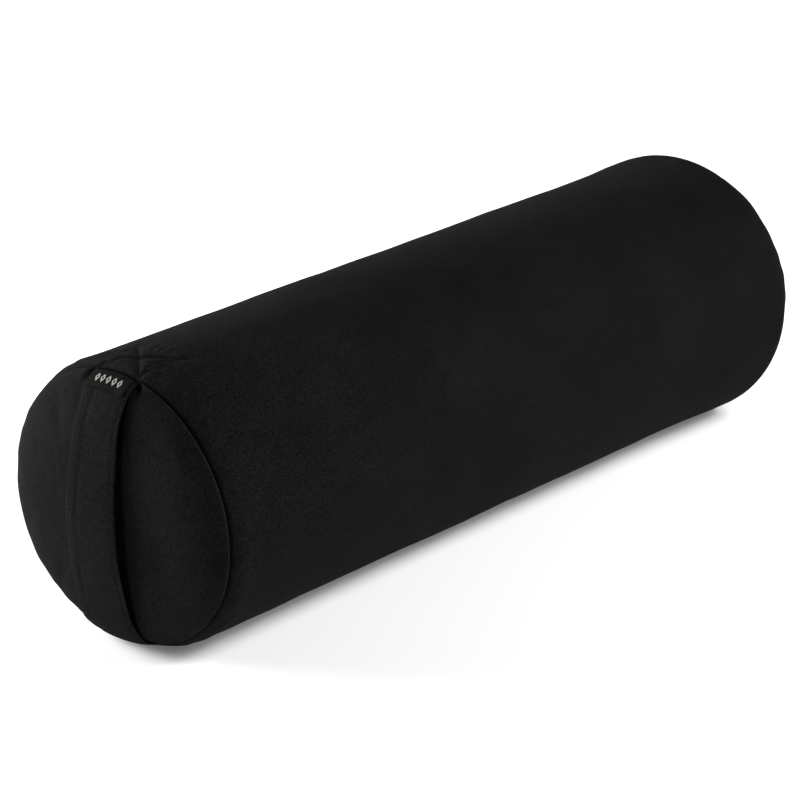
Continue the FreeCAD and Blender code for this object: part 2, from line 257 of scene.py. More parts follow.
def simulate_cover():
    """The whole cover as one closed bag, pinned at its two end seams and blown against its own cloth.
    Returns radial moves on the tube's grid, and a function that gives a domed end's moves."""
    phi = np.arange(N_PHI) * 2 * math.pi / N_PHI
    xs = np.linspace(FRONT_X, BACK_X, N_RINGS)
    verts, slack = [], []
    r = tube_radius(xs)
    noise = rng.normal(0, 1, (N_RINGS, N_PHI))
    for _ in range(8):
        noise = soften(noise)
    noise *= UNEVEN / noise.std()
    shrink = SIM_INSET * np.clip(np.minimum(xs - FRONT_X, BACK_X - xs) / (12 * MM), 0, 1)
    tube = place(xs[:, None], (r - shrink)[:, None] + noise, phi[None, :])
    # cloth is cut with a little more width than the seam ring takes up
    ease = MID_EASE + (1 - MID_EASE) * np.exp(-np.minimum(xs - FRONT_X, BACK_X - xs) / EASE_REACH)
    verts.extend(tube.reshape(-1, 3))
    slack.extend(np.repeat(ease, N_PHI))
    faces = grid_faces(N_RINGS, N_PHI, wrap_v=True, flip=True)
    pins = list(range(N_PHI)) + list(range((N_RINGS - 1) * N_PHI, N_RINGS * N_PHI))
    caps = []
    for side, ring0, height, radius, power in (
        (-1, 0, FRONT_DOME, SEAM_R, FRONT_POWER),
        (1, (N_RINGS - 1) * N_PHI, BACK_DOME, BACK_SEAM_R, BACK_POWER),
    ):
        seam_x = FRONT_X if side < 0 else BACK_X
        rings = {N_CAP: [ring0 + j for j in range(N_PHI)]}
        for k in range(N_CAP - 1, -1, -1):
            count = max(8 * k, 1)
            share = k / N_CAP
            turn = math.asin(share ** (power / 2)) if share < 1 else math.pi / 2
            out, rr = dome(np.array([turn]), height, radius, power)
            ang = np.arange(count) * 2 * math.pi / count
            start = len(verts)
            jitter = rng.normal(0, 1, count) * 0.12 * MM
            verts.extend(place(seam_x + side * (out - SIM_INSET) + jitter, rr, ang))
            slack.extend([CAP_EASE] * count)
            rings[k] = [start + j for j in range(count)]
        for k in range(N_CAP, 0, -1):
            outer, inner = rings[k], rings[k - 1]
            for q in range(8):
                for j in range(k):
                    a = outer[q * k + j]
                    b = outer[(q * k + j + 1) % (8 * k)]
                    face = (a, b, inner[(q * (k - 1) + j) % len(inner)])
                    if j < k - 1:
                        face = (a, b, inner[(q * (k - 1) + j + 1) % len(inner)], face[2])
                    faces.append(face if side < 0 else face[::-1])
        caps.append((side, seam_x, rings))
    obj = make_object("sim_cover", verts, faces)
    bpy.context.view_layer.objects.active = obj
    group = obj.vertex_groups.new(name="pins")
    group.add(pins, 1.0, "REPLACE")
    snug = obj.vertex_groups.new(name="snug")
    for k, share in enumerate(slack):
        snug.add([k], float(1 - share), "REPLACE")
    cloth = obj.modifiers.new("Cloth", "CLOTH")
    s = cloth.settings
    s.quality = 6
    s.mass = 0.3
    s.tension_stiffness = s.compression_stiffness = 25
    s.shear_stiffness = 8
    s.bending_stiffness = 0.6
    s.tension_damping = s.compression_damping = 10
    s.air_damping = 4
    s.use_pressure = True
    s.uniform_pressure_force = 5.0
    s.vertex_group_mass = "pins"
    s.vertex_group_shrink = "snug"
    s.shrink_min = -SEAM_EASE
    s.shrink_max = 0.0
    s.effector_weights.gravity = 0
    cloth.collision_settings.use_self_collision = False
    cloth.point_cache.frame_start = 1
    cloth.point_cache.frame_end = SIM_FRAMES
    scene = bpy.context.scene
    for f in range(1, SIM_FRAMES + 1):
        scene.frame_set(f)
    shape = obj.evaluated_get(bpy.context.evaluated_depsgraph_get())
    co = np.empty(len(shape.data.vertices) * 3)
    shape.data.vertices.foreach_get("co", co)
    co = co.reshape(-1, 3)
    scene.frame_set(1)
    moved = co[: N_RINGS * N_PHI].reshape(N_RINGS, N_PHI, 3)
    got = np.hypot(moved[..., 1], moved[..., 2] - AXIS_Z)
    # only the wrinkles are kept: the even swelling is taken off each ring
    move = got - got.mean(axis=1, keepdims=True)
    # the far end is packed tighter, so its shoulder shows fewer of them
    kept = smooth(0, 14 * MM, xs - FRONT_X) * smooth(0, 60 * MM, BACK_X - xs)
    move = np.clip(move, -CAP_MOVE, CAP_MOVE) * kept[:, None]
    tree = BVHTree.FromPolygons([tuple(v) for v in co], faces)

    def end_move(p, side):
        out = np.zeros(len(p))
        for i, q in enumerate(p):
            start = Vector((q[0] + side * 0.06, q[1], q[2]))
            hit = tree.ray_cast(start, Vector((-side, 0, 0)), 0.2)
            if hit[0] is not None:
                out[i] = (hit[0][0] - q[0]) * side
        return np.clip(out, -CAP_MOVE, CAP_MOVE)

    bpy.data.objects.remove(obj)
    return phi, xs, move, end_move


sim = simulate_cover()

# ------------------------------------------------------------------ materials
def new_material(name):
    """The material, its node tree, its shader, and places on the object."""
    m = bpy.data.materials.new(name)
    m.use_nodes = True
    tree = m.node_tree
    where = node(tree, "ShaderNodeTexCoord").outputs["Object"]
    return m, tree, tree.nodes["Principled BSDF"], where


def node(tree, kind, **props):
    n = tree.nodes.new(kind)
    for k, v in props.items():
        setattr(n, k, v)
    return n


def put(n, name, value):
    n.inputs[name].default_value = value


def link(tree, source, n, name):
    tree.links.new(source, n.inputs[name])


def noise_node(tree, vector, scale, detail=4.0, rough=0.55, stretch=None):
    n = node(tree, "ShaderNodeTexNoise")
    put(n, "Scale", scale)
    put(n, "Detail", detail)
    put(n, "Roughness", rough)
    if stretch:
        m = node(tree, "ShaderNodeMapping")
        put(m, "Scale", stretch)
        link(tree, vector, m, "Vector")
        vector = m.outputs["Vector"]
    link(tree, vector, n, "Vector")
    return n.outputs["Fac"]


def maths(tree, op, a, b=None):
    n = node(tree, "ShaderNodeMath", operation=op)
    for i, v in enumerate((a, b)):
        if isinstance(v, (int, float)):
            n.inputs[i].default_value = v
        elif v is not None:
            tree.links.new(v, n.inputs[i])
    return n.outputs[0]


def times(tree, a, b):
    return maths(tree, "MULTIPLY", a, b)


def remap(tree, value, lo, hi, to_lo, to_hi):
    n = node(tree, "ShaderNodeMapRange")
    put(n, "From Min", lo)
    put(n, "From Max", hi)
    put(n, "To Min", to_lo)
    put(n, "To Max", to_hi)
    link(tree, value, n, "Value")
    return n.outputs["Result"]


def tinted(tree, colour, factor):
    """The colour times a factor that varies over the surface."""
    n = node(tree, "ShaderNodeVectorMath", operation="SCALE")
    n.inputs[0].default_value = colour
    link(tree, factor, n, "Scale")
    return n.outputs["Vector"]


def bump(tree, shader, height, distance):
    n = node(tree, "ShaderNodeBump")
    put(n, "Distance", distance)
    put(n, "Strength", 1.0)
    link(tree, height, n, "Height")
    link(tree, n.outputs["Normal"], shader, "Normal")


SUEDE = (0.0061, 0.0061, 0.0062)


def suede(name, colour=SUEDE, sheen=0.003, edge=None, grain=1.0, worn=None):
    """Brushed microsuede: mottled nap in broad patches, a fine fibre grain and a soft sheen.
    worn is how much grain is left where the nap lies smoother, away from the strap's end."""
    m, t, s, where = new_material(name)
    broad = noise_node(t, where, 9, 3, 0.5, (1, 1.3, 1.3))
    patch = noise_node(t, where, 34, 5, 0.6)
    streak = noise_node(t, where, 60, 3, 0.6, (0.35, 1.6, 1.6))
    fine = noise_node(t, where, 620, 2, 0.7)
    v = remap(t, broad, 0.3, 0.7, 0.84, 1.16)
    v = times(t, v, remap(t, patch, 0.3, 0.7, 0.91, 1.09))
    v = times(t, v, remap(t, streak, 0.3, 0.7, 0.95, 1.05))
    speckle = remap(t, fine, 0.3, 0.7, -0.20 * grain, 0.20 * grain)
    if worn:
        split = node(t, "ShaderNodeSeparateXYZ")
        link(t, where, split, "Vector")
        left = remap(t, split.outputs["X"], FRONT_X + 0.06, FRONT_X + 0.32, 1.0, worn)
        speckle = times(t, speckle, left)
    v = times(t, v, maths(t, "ADD", speckle, 1.0))
    # the named attribute lightens and darkens the colour: painted highlights and painted shade at seams,
    # strap edges and under the strap
    if edge:
        a = node(t, "ShaderNodeAttribute", attribute_name=edge)
        v = times(t, v, maths(t, "ADD", a.outputs["Fac"], 1.0))
    link(t, tinted(t, colour, v), s, "Base Color")
    put(s, "Specular IOR Level", 0.02)
    link(t, remap(t, patch, 0.2, 0.8, 0.88, 1.0), s, "Roughness")
    put(s, "Sheen Weight", sheen)
    put(s, "Sheen Roughness", 0.45)
    put(s, "Sheen Tint", (1.0, 1.0, 1.0, 1))
    fibre = noise_node(t, where, 1500, 3, 0.7)
    height = maths(t, "ADD", fibre, times(t, patch, 1.5))
    bump(t, s, height, 0.25 * MM)
    return m


def thread_material(name, colour, rough=0.55, twist=2600):
    m, t, s, where = new_material(name)
    w = node(t, "ShaderNodeTexWave", wave_type="BANDS", bands_direction="DIAGONAL")
    put(w, "Scale", twist / 6.28)
    put(w, "Distortion", 1.0)
    link(t, where, w, "Vector")
    vary = noise_node(t, where, 220, 3)
    plies = remap(t, w.outputs["Fac"], 0, 1, 0.75, 1.2)
    v = times(t, plies, remap(t, vary, 0.3, 0.7, 0.85, 1.15))
    link(t, tinted(t, colour, v), s, "Base Color")
    link(t, remap(t, vary, 0.3, 0.7, rough - 0.1, rough + 0.1), s, "Roughness")
    put(s, "Specular IOR Level", 0.06)
    bump(t, s, w.outputs["Fac"], 0.1 * MM)
    return m


def weave_material(name, colour, pitch, rough=0.6, spec=0.2, sheen=0.0, depth=0.15):
    """Plain weave: two crossed sets of threads, pitch metres apart."""
    m, t, s, where = new_material(name)
    sets = []
    for axis in ("X", "Z"):
        w = node(t, "ShaderNodeTexWave", wave_type="BANDS", bands_direction=axis)
        put(w, "Scale", 1 / pitch / 3.1831)
        put(w, "Distortion", 0.4)
        put(w, "Detail", 1)
        link(t, where, w, "Vector")
        sets.append(w.outputs["Fac"])
    both = maths(t, "MAXIMUM", sets[0], sets[1])
    vary = noise_node(t, where, 60, 4)
    v = times(t, remap(t, both, 0, 1, 0.7, 1.15), remap(t, vary, 0.3, 0.7, 0.88, 1.12))
    link(t, tinted(t, colour, v), s, "Base Color")
    link(t, remap(t, vary, 0.3, 0.7, rough - 0.08, rough + 0.08), s, "Roughness")
    put(s, "Specular IOR Level", spec)
    put(s, "Sheen Weight", sheen)
    bump(t, s, both, depth * MM)
    return m


def fibre_material(name, colour):
    m, t, s, where = new_material(name)
    clump = noise_node(t, where, 45, 6, 0.7)
    strands = noise_node(t, where, 380, 5, 0.75, (0.3, 1, 1))
    v = times(t, remap(t, clump, 0.3, 0.7, 0.85, 1.1), remap(t, strands, 0.3, 0.7, 0.9, 1.08))
    link(t, tinted(t, colour, v), s, "Base Color")
    link(t, remap(t, clump, 0.3, 0.7, 0.85, 1.0), s, "Roughness")
    put(s, "Sheen Weight", 0.2)
    bump(t, s, maths(t, "ADD", clump, strands), 1.5 * MM)
    return m


def hard_material(name, colour, rough, metallic, spec):
    """Cast or moulded zip part: fine pitting, and wear that lightens it in patches."""
    m, t, s, where = new_material(name)
    cast = noise_node(t, where, 900, 4, 0.6)
    wear = noise_node(t, where, 160, 4, 0.6)
    link(t, tinted(t, colour, remap(t, wear, 0.3, 0.7, 0.8, 1.25)), s, "Base Color")
    link(t, remap(t, wear, 0.3, 0.7, rough - 0.08, rough + 0.12), s, "Roughness")
    put(s, "Metallic", metallic)
    put(s, "Specular IOR Level", spec)
    bump(t, s, cast, 0.05 * MM)
    return m


def label_material():
    """Dark satin ribbon with a row of small pale woven diamonds."""
    m, t, s, where = new_material("label_satin_weave")
    uv = node(t, "ShaderNodeUVMap", uv_map="UVMap").outputs["UV"]
    sep = node(t, "ShaderNodeSeparateXYZ")
    link(t, uv, sep, "Vector")
    u, v = sep.outputs["X"], sep.outputs["Y"]
    # five diamonds along the middle of the leaf
    cell = times(t, u, 7.0)
    local = maths(t, "ABSOLUTE", maths(t, "SUBTRACT", maths(t, "FRACT", cell), 0.5))
    across = maths(t, "ABSOLUTE", maths(t, "SUBTRACT", v, 0.46))
    lozenge = maths(t, "ADD", local, times(t, across, 1.55))
    inside = maths(t, "LESS_THAN", lozenge, 0.37)
    core = maths(t, "GREATER_THAN", lozenge, 0.17)
    ends = times(t, maths(t, "GREATER_THAN", u, 0.143), maths(t, "LESS_THAN", u, 0.857))
    mark = times(t, times(t, inside, core), ends)
    ribs = node(t, "ShaderNodeTexWave", wave_type="BANDS", bands_direction="X")
    put(ribs, "Scale", 30)
    put(ribs, "Distortion", 0.3)
    link(t, uv, ribs, "Vector")
    vary = noise_node(t, where, 300, 3)
    dark = tinted(t, (0.0044, 0.0044, 0.0038), remap(t, vary, 0.3, 0.7, 0.85, 1.15))
    pale = tinted(t, (0.30, 0.30, 0.29), remap(t, ribs.outputs["Fac"], 0, 1, 0.85, 1.1))
    mix = node(t, "ShaderNodeMix", data_type="RGBA")
    link(t, mark, mix, "Factor")
    link(t, dark, mix, "A")
    link(t, pale, mix, "B")
    link(t, mix.outputs["Result"], s, "Base Color")
    link(t, remap(t, vary, 0.3, 0.7, 0.72, 0.85), s, "Roughness")
    put(s, "Specular IOR Level", 0.015)
    bump(t, s, maths(t, "ADD", ribs.outputs["Fac"], times(t, mark, 1.5)), 0.08 * MM)
    return m


body_suede = suede("cover_suede_body", edge="painted_light_shade", grain=3.4, worn=0.36)
# painted light: the end panels get a slightly lighter copy of the same suede colour
end_suede = suede("cover_suede_end", (0.0067, 0.0067, 0.0068), edge="painted_light_shade", grain=2.9)
strap_suede = suede("cover_suede_strap", edge="painted_light_shade", grain=3.3)
black_thread = thread_material("thread_black", (0.0055, 0.0055, 0.0058), 0.7)
label_satin = label_material()
zip_weave = weave_material("zip_tape_weave", (0.0052, 0.0052, 0.0056), 0.9 * MM, 0.8, 0.05)
zip_nylon = hard_material("zip_nylon", (0.0075, 0.0075, 0.0082), 0.45, 0.0, 0.12)
zip_metal = hard_material("zip_metal_black", (0.012, 0.012, 0.013), 0.5, 0.5, 0.15)
care_satin = weave_material("care_satin_weave", (0.78, 0.77, 0.74), 0.5 * MM, 0.45, 0.4)
liner_weave = weave_material("liner_cotton_weave", (0.70, 0.68, 0.63), 1.1 * MM, 0.85, 0.2, 0.1)
fill_fibre = fibre_material("fill_fibre_loft", (0.84, 0.84, 0.83))

by_slot = {
    "cover_suede": body_suede,
    "thread_black": black_thread,
    "label_satin": label_satin,
    "zip_tape": zip_weave,
    "zip_nylon": zip_nylon,
    "zip_metal": zip_metal,
    "care_satin": care_satin,
    "liner_cotton": liner_weave,
    "fill_fibre": fill_fibre,
}
for part in frame["record"]["subparts"]:
    cad = frame["nodes"][part["node"]]
    cad.data.materials.clear()
    cad.data.materials.append(by_slot[part["material_slot"]])

# ------------------------------------------------------------------ cover: the tube
def angles():
    """Angles round the tube: close together over the crossed square and the zip, wider elsewhere."""
    top = np.radians(np.arange(-14.0, 14.01, 0.55))
    across = np.array([0, 0.5, 1.1, 2.0, 3.2, 4.6, 6.0, 6.5, 7.1, 7.8, 8.4, 9.0, 9.6, 10.4, 11.8, 14.0, 17.0])
    across = across * MM / R
    zip_zone = ZIP_PHI + np.concatenate([-across[:0:-1], across])
    gap1 = np.linspace(top[-1], zip_zone[0], 38)[1:-1]
    gap2 = np.linspace(zip_zone[-1], top[0] + 2 * math.pi, 196)[1:-1]
    return np.concatenate([top, gap1, zip_zone, gap2])


def lengths():
    near = np.concatenate([[0, 0.35, 0.8, 1.3, 1.9, 2.6], np.arange(3.4, 58, 1.1)]) * MM
    far = np.concatenate([[0, 0.35, 0.8, 1.3, 1.9, 2.6, 3.6], np.arange(5, 30, 2.2)]) * MM
    zip_a = MID_X - SLOT_HALF_L
    zip_b = MID_X + SLOT_HALF_L
    a = FRONT_X + near
    b = (BACK_X - far)[::-1]
    mid2 = np.linspace(zip_a, zip_b, 128)[1:-1]
    mid3 = np.linspace(zip_b, b[0], 9)[:-1]
    return np.concatenate([a, [zip_a], mid2, mid3, b])


BOX_MID = FRONT_X + 20.4 * MM
BOX_HALF_L = 19.5 * MM
BOX_HALF_W = 20.5 * MM


def segment_distance(px, py, ax, ay, bx, by):
    dx, dy = bx - ax, by - ay
    t = np.clip(((px - ax) * dx + (py - ay) * dy) / (dx * dx + dy * dy), 0, 1)
    return np.hypot(px - ax - t * dx, py - ay - t * dy)


def box_lines():
    h, w = BOX_HALF_L, BOX_HALF_W
    c = [(-h, -w), (h, -w), (h, w), (-h, w)]
    return [(c[0], c[1]), (c[1], c[2]), (c[2], c[3]), (c[3], c[0]), (c[0], c[2]), (c[1], c[3])]


def box_relief(px, py):
    """The crossed square's pull on the cloth: sunk along its lines, puffed between, puckered around."""
    d = np.full(px.shape, 1.0)
    for (ax, ay), (bx, by) in box_lines():
        d = np.minimum(d, segment_distance(px, py, ax, ay, bx, by))
    inside = np.maximum(np.abs(px) - BOX_HALF_L, np.abs(py) - BOX_HALF_W)
    sunk = -1.3 * bell(d, 1.5 * MM) - 0.5 * bell(d, 5 * MM)
    puff = np.where(inside < 0, 0.9 * (1 - bell(d, 4 * MM)), 0)
    away = np.clip(inside, 0, None)
    side = np.where(np.abs(px) > np.abs(py), py, px)
    ripple = 0.55 * np.sin(side * 620 + np.sin(side * 170) * 2) * np.exp(-away / (9 * MM))
    ripple = ripple * smooth(0, 3 * MM, away)
    corner = 0
    for cx, cy in ((1, 1), (1, -1)):
        qx, qy = px - cx * BOX_HALF_L, py - cy * BOX_HALF_W
        along = (qx * 0.86 + qy * cy * 0.5)
        off = (-qx * 0.5 * cy + qy * 0.86)
        pull = bell(off, 2.6 * MM) * smooth(-1 * MM, 3 * MM, along)
        corner = corner - 1.1 * pull * np.exp(-np.clip(along, 0, None) / (16 * MM))
    fade = np.exp(-(np.clip(away - 12 * MM, 0, None) / (10 * MM)))
    return MM * (sunk + puff + ripple + corner) * fade, d


PHI = angles()
XS = lengths()
NX, NP = len(XS), len(PHI)
XX, PP = np.meshgrid(XS, PHI, indexing="ij")
rad = tube_radius(XX)
if sim:
    wx = cubic_weights(XS, sim[1])
    wp = cubic_weights(PHI, sim[0], closed=2 * math.pi)
    rad = rad + wx @ sim[2] @ wp.T
s_front = XX - FRONT_X
s_back = BACK_X - XX
phi_top = wrap(PP)
# the end seams: cloth turns down into a narrow groove
ripple_f = 1 + 0.25 * np.sin(PP * 23 + 1.3) + 0.2 * np.sin(PP * 41 + 0.4)
ripple_b = 1 + 0.25 * np.sin(PP * 21 + 2.0) + 0.2 * np.sin(PP * 37 + 1.1)
for s, ripple in ((s_front, ripple_f), (s_back, ripple_b)):
    rad = rad - SEAM_GROOVE * np.exp(-s / (0.8 * MM)) + 0.15 * MM * ripple * bell(s - 2.4 * MM, 1.6 * MM)
relief_top, d_top = box_relief(XX - BOX_MID, phi_top * R)
on_top = np.abs(phi_top) < math.pi / 2
rad = rad + np.where(on_top, relief_top, 0)
# the long seam: open over the zip, pinched shut beyond it
t_zip = wrap(PP - ZIP_PHI) * R
pinch = -1.6 * MM * np.exp(-np.abs(t_zip) / (0.9 * MM))
pinch = pinch + 0.3 * MM * bell(np.abs(t_zip) - 3 * MM, 2 * MM)
past_zip = smooth(SLOT_HALF_L, SLOT_HALF_L + 5 * MM, np.abs(XX - MID_X))
rad = rad + pinch * past_zip
row = np.minimum(np.abs(np.abs(t_zip) - TOPSTITCH_T), 1)
topstitch_dip = -0.55 * MM * bell(row, 1.1 * MM)
near_zip = smooth(SLOT_HALF_L + 8 * MM, SLOT_HALF_L + 3 * MM, np.abs(XX - MID_X))
rad = rad + topstitch_dip * near_zip
tube_points = rest_on_floor(sag(place(XX, rad, PP)))
cell_x = (XS[1:] + XS[:-1]) / 2
cell_p = np.concatenate([(PHI[1:] + PHI[:-1]) / 2, [PHI[-1] + 0.5 * (PHI[0] + 2 * math.pi - PHI[-1])]])
in_slot = (np.abs(cell_x[:, None] - MID_X) < SLOT_HALF_L) & (
    np.abs(wrap(cell_p[None, :] - ZIP_PHI) * R) < SLOT_HALF_W
)
faces = grid_faces(NX, NP, wrap_v=True, keep=~in_slot, flip=True)
verts = tube_points.reshape(-1, 3)
used = np.zeros(len(verts), dtype=bool)
used[np.asarray(faces).ravel()] = True

# painted light and shade in the colour: dark in the front seam's groove, light on the back seam's lip and
# beside the crossed square's lines
painted_light_shade = (
    0.25 * bell(s_back - 1.6 * MM, 0.9 * MM)
    - 0.75 * np.exp(-s_front / (1.2 * MM))
    + np.where(on_top, 0.25 * bell(d_top - 1.6 * MM, 0.8 * MM), 0)
)

# folded lips down into the zip's slot
lip_faces = []
lip_verts = []
i0 = int(np.argmin(np.abs(XS - (MID_X - SLOT_HALF_L))))
i1 = int(np.argmin(np.abs(XS - (MID_X + SLOT_HALF_L))))
j0 = int(np.argmin(np.abs(wrap(PHI - ZIP_PHI) * R + SLOT_HALF_W)))
j1 = int(np.argmin(np.abs(wrap(PHI - ZIP_PHI) * R - SLOT_HALF_W)))
loop = (
    [(i, j0) for i in range(i0, i1)]
    + [(i1, j) for j in range(j0, j1)]
    + [(i, j1) for i in range(i1, i0, -1)]
    + [(i0, j) for j in range(j1, j0, -1)]
)
loop_index = [i * NP + j for i, j in loop]
base = len(verts)
steps = ((0.45, 0.35), (0.55, 1.0), (0.1, 1.5), (-1.2, 1.7))
ALONG = np.array([1.0, 0, 0])
centre_n = np.array([0, math.sin(ZIP_PHI), math.cos(ZIP_PHI)])
centre_t = np.array([0, math.cos(ZIP_PHI), -math.sin(ZIP_PHI)])
for toward, down in steps:
    for (i, j), k in zip(loop, loop_index):
        p = verts[k].copy()
        t_here = wrap(PHI[j] - ZIP_PHI) * R
        x_here = XS[i] - MID_X
        to_t = -np.sign(t_here) * (abs(abs(t_here) - SLOT_HALF_W) < 1e-4)
        to_x = -np.sign(x_here) * (abs(abs(x_here) - SLOT_HALF_L) < 1e-4)
        p += (centre_t * to_t + ALONG * to_x) * toward * MM - centre_n * down * MM
        lip_verts.append(p)
rows = [loop_index] + [[base + q * len(loop) + k for k in range(len(loop))] for q in range(len(steps))]
for a, b in zip(rows[:-1], rows[1:]):
    for k in range(len(loop)):
        k2 = (k + 1) % len(loop)
        lip_faces.append((a[k], a[k2], b[k2], b[k]))
all_verts = np.concatenate([verts, np.array(lip_verts)])
painted_light_shade_all = np.concatenate([painted_light_shade.ravel(), np.zeros(len(lip_verts))])
used = np.concatenate([used, np.ones(len(lip_verts), dtype=bool)])
remap_index = np.cumsum(used) - 1
faces = [tuple(int(remap_index[v]) for v in f) for f in faces + lip_faces]
tube_cloth = make_object("cover_tube_cloth", all_verts[used], faces, body_suede)
attribute(tube_cloth, "painted_light_shade", painted_light_shade_all[used])
on_bolster(tube_cloth, "cover_body_panel")


# ------------------------------------------------------------------ cover: the domed ends
def strap_half_width(z):
    up = (z - AXIS_Z) / STRAP_B
    return (24.8 - 4.2 * up + 0.5 * up * up) * MM


def strap_surface_x(y, z, a, b):
    q = 1 - (y / b) ** 2 - ((z - AXIS_Z) / b) ** 2
    return a * np.sqrt(np.clip(q, 0, None))


def end_panel(name, side, seam_x, height, radius, power, node_name):
    n_phi = 300
    edge = np.array([0, 0.35, 0.8, 1.3, 1.9, 2.6, 3.4, 4.4, 5.6, 7.0, 8.6]) * MM
    # distance from the seam along the dome, turned into the dome's own angle
    fine = np.linspace(math.pi / 2, 0, 4000)
    out, r = dome(fine, height, radius, power)
    run = np.concatenate([[0], np.cumsum(np.hypot(np.diff(out), np.diff(r)))])
    arc = np.concatenate([edge, np.arange(10.5 * MM, run[-1] - 1.5 * MM, 2.4 * MM)])
    turn = np.interp(arc, run, fine)
    ph = np.arange(n_phi) * 2 * math.pi / n_phi
    T, P = np.meshgrid(turn, ph, indexing="ij")
    S = np.broadcast_to(arc[:, None], T.shape)
    out, r = dome(T, height, radius, power)
    # outward normal of the dome's profile
    do = np.gradient(out, axis=0)
    dr = np.gradient(r, axis=0)
    norm = np.hypot(do, dr)
    nx, nr = -dr / norm, do / norm
    wave = 1 + 0.3 * np.sin(P * 19 + 0.7) + 0.2 * np.sin(P * 33 + 2.1)
    h = -SEAM_GROOVE * np.exp(-S / (0.7 * MM))
    h = h + 0.4 * MM * wave * bell(S - 2.0 * MM, 1.5 * MM)
    h = h + 0.35 * MM * np.sin(P * 27 + np.sin(P * 5) * 2) * np.exp(-S / (14 * MM)) * smooth(0, 5 * MM, S)
    if sim:
        pts = place(seam_x + side * out, r, P).reshape(-1, 3)
        move = sim[3](pts, side).reshape(T.shape)
        move = (move - move.mean(axis=1, keepdims=True)) * smooth(0, 12 * MM, S)
        for _ in range(3):
            move = soften(move)
        out = out + move
    out = out + h * nx
    r = r + h * nr
    pts = sag(place(seam_x + side * out, r, P))
    if side < 0:
        y, z = pts[..., 1], pts[..., 2]
        limit = strap_surface_x(y, z, STRAP_A - 2.4 * MM, STRAP_B - 1.6 * MM)
        beside = smooth(10 * MM, 2 * MM, np.abs(y) - strap_half_width(z))
        over = np.clip(out - limit, 0, None)
        pts[..., 0] = pts[..., 0] + over * beside * smooth(0, 1.5 * MM, S)
    pts = rest_on_floor(pts)
    verts = pts.reshape(-1, 3)
    crown = verts[-n_phi:].mean(axis=0)
    faces = grid_faces(len(arc), n_phi, wrap_v=True, flip=side > 0)
    last = (len(arc) - 1) * n_phi
    for j in range(n_phi):
        tri = (last + j, last + (j + 1) % n_phi, len(verts))
        faces.append(tri[::-1] if side > 0 else tri)
    obj = make_object(name, np.concatenate([verts, [crown]]), faces, end_suede)
    # painted light and shade in the colour: a light line on the seam's lip and a dark line in its groove
    mark = 0.6 * bell(S - 1.5 * MM, 0.6 * MM) - 0.75 * np.exp(-S / (0.5 * MM))
    if side < 0:
        # painted shadow: the colour is darkened to near black where the panel lies under the strap
        y, z = pts[..., 1], pts[..., 2]
        strap_shadow = smooth(0.6 * MM, -0.6 * MM, np.abs(y) - strap_half_width(z))
        mark = mark * (1 - strap_shadow) - 0.86 * strap_shadow
    attribute(obj, "painted_light_shade", np.concatenate([mark.ravel(), [0]]))
    on_bolster(obj, node_name)


end_panel("cover_front_end_cloth", -1, FRONT_X, FRONT_DOME, SEAM_R, FRONT_POWER, "cover_front_end_panel")
end_panel("cover_back_end_cloth", 1, BACK_X, BACK_DOME, BACK_SEAM_R, BACK_POWER, "cover_back_end_panel")


# ------------------------------------------------------------------ carry strap
def strap_frame(psi, v):
    """A point on the strap's middle sheet and its outward normal. psi runs -pi/2 to pi/2 up the
    end, v from -1 to 1 across it."""
    zc = STRAP_B * np.sin(psi)
    y = v * strap_half_width(AXIS_Z + zc)
    b = np.sqrt(STRAP_B ** 2 - y ** 2)
    a = STRAP_A * b / STRAP_B
    z = b * np.sin(psi)
    x = a * np.cos(psi)
    n = np.stack([-x / STRAP_A ** 2, y / STRAP_B ** 2, z / STRAP_B ** 2], axis=-1)
    n = n / np.linalg.norm(n, axis=-1, keepdims=True)
    p = np.stack([FRONT_X - x, y, AXIS_Z + z], axis=-1)
    return p, n


def strap_relief(psi, v):
    """Outer face's height above the middle sheet, in metres."""
    hw = strap_half_width(AXIS_Z + STRAP_B * np.sin(psi))
    from_edge = (1 - np.abs(v)) * hw
    h = STRAP_HALF_T - 0.45 * MM * bell(from_edge - STRAP_EDGE_ROW, 1.0 * MM)
    band = (1 - v) * hw
    h = h - 0.45 * MM * bell(band - STRAP_FOLD_LINE, 2.2 * MM) * (0.7 + 0.3 * np.sin(psi * 9))
    h = h + 0.25 * MM * np.sin(psi * 7.3 + v * 1.4) * np.cos(v * 2.2 + psi * 2.1)
    return h


def strap_bend(psi, v):
    """Slow unevenness of the whole strip."""
    hold = np.cos(psi) ** 0.5
    return hold * MM * (0.5 * np.sin(psi * 4.1 + 0.6) * v + 0.35 * np.sin(psi * 6.7 + 1.9))


def on_strap(psi, v, height):
    """A point at this height on the finished strap, and its normal."""
    p, n = strap_frame(np.array(psi), np.array(v))
    p = p + n * (height + float(strap_bend(psi, v)))
    p[1] += 0.35 * MM * math.sin(psi * 11 + v) * math.cos(psi) ** 0.5
    return p, n


